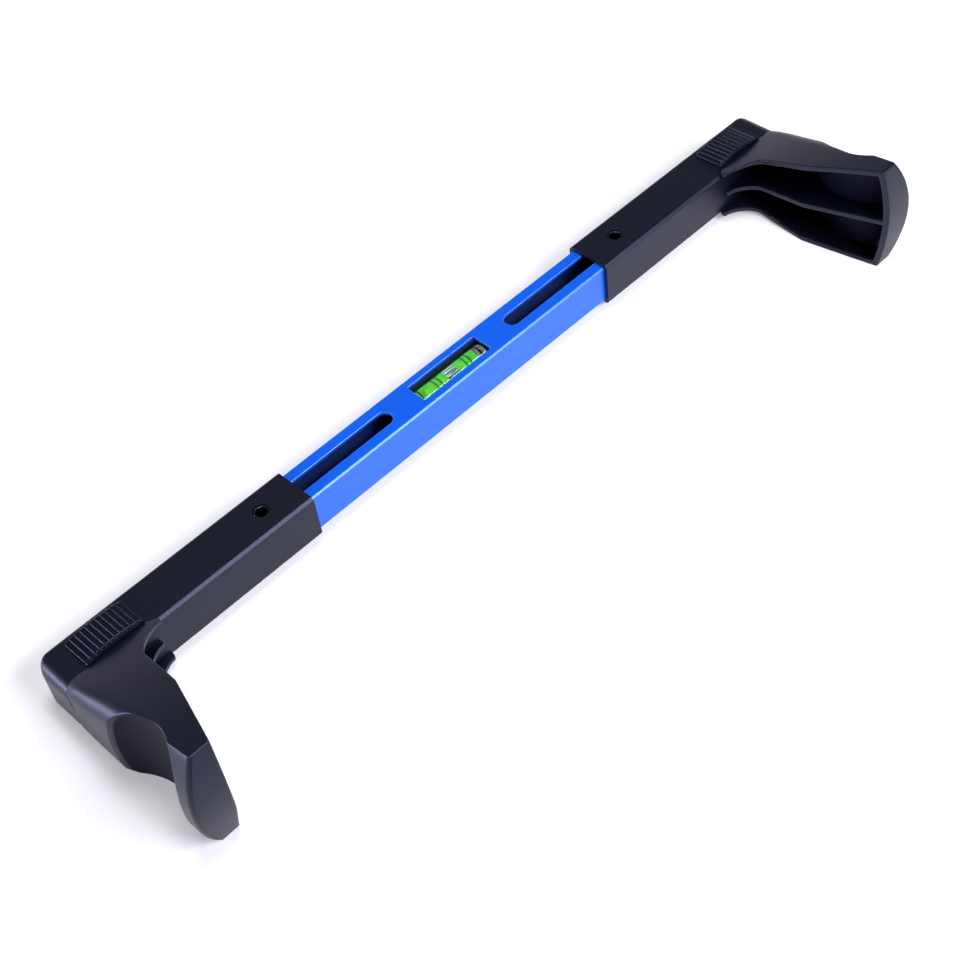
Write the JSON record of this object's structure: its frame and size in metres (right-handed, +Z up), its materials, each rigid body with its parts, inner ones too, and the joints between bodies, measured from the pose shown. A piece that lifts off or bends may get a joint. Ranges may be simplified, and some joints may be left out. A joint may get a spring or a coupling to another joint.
{
  "type": "steering wheel level",
  "caption": "Spirit level that spans a steering wheel: a slotted blue bar with a green vial, and black ribbed hooks on sliding sleeves that catch the rim.",
  "frame": {"origin": "on the bar's axis, below the middle of the vial's window", "axes": "+X along the bar towards the right handle, +Y away from the hooks, +Z up through the vial's window"},
  "size_m": [0.444, 0.1011, 0.058],
  "materials": {
    "bar": "blue anodised, satin",
    "black_plastic": "moulded, fine texture, satin",
    "pad_plastic": "moulded, ribbed, satin",
    "black_inner": "moulded, plain",
    "pin_steel": "blackened",
    "vial_clear": "clear acrylic",
    "vial_cap": "clear grey acrylic",
    "seal_rubber": "black",
    "vial_green": "green fluid",
    "ring_ink": "printed ink",
    "bubble_clear": "air bubble in the fluid"
  },
  "bodies": {
    "beam": {"tube": "bar", "left_guide_plug": "black_inner", "right_guide_plug": "black_inner", "vial_cradle": "black_inner", "vial_barrel": "vial_clear", "vial_plug": "vial_cap", "vial_seal": "seal_rubber", "vial_fluid": "vial_green", "vial_rings": "ring_ink"},
    "bubble": {"bubble": "bubble_clear"},
    "left_handle": {"left_sleeve": "black_plastic", "left_hook": "black_plastic", "left_thumb_pad": "pad_plastic", "left_guide_pin": "pin_steel"},
    "right_handle": {"right_sleeve": "black_plastic", "right_hook": "black_plastic", "right_thumb_pad": "pad_plastic", "right_guide_pin": "pin_steel"}
  },
  "joints": [
    {"name": "left_handle_slide", "type": "slide", "parent": "beam", "child": "left_handle", "axis": [1, 0, 0], "range_m": [0, 0.0705]},
    {"name": "right_handle_slide", "type": "slide", "parent": "beam", "child": "right_handle", "axis": [-1, 0, 0], "range_m": [0, 0.0705]},
    {"name": "bubble_slide", "type": "slide", "parent": "beam", "child": "bubble", "axis": [1, 0, 0], "range_m": [-0.008, 0.008]}
  ]
}
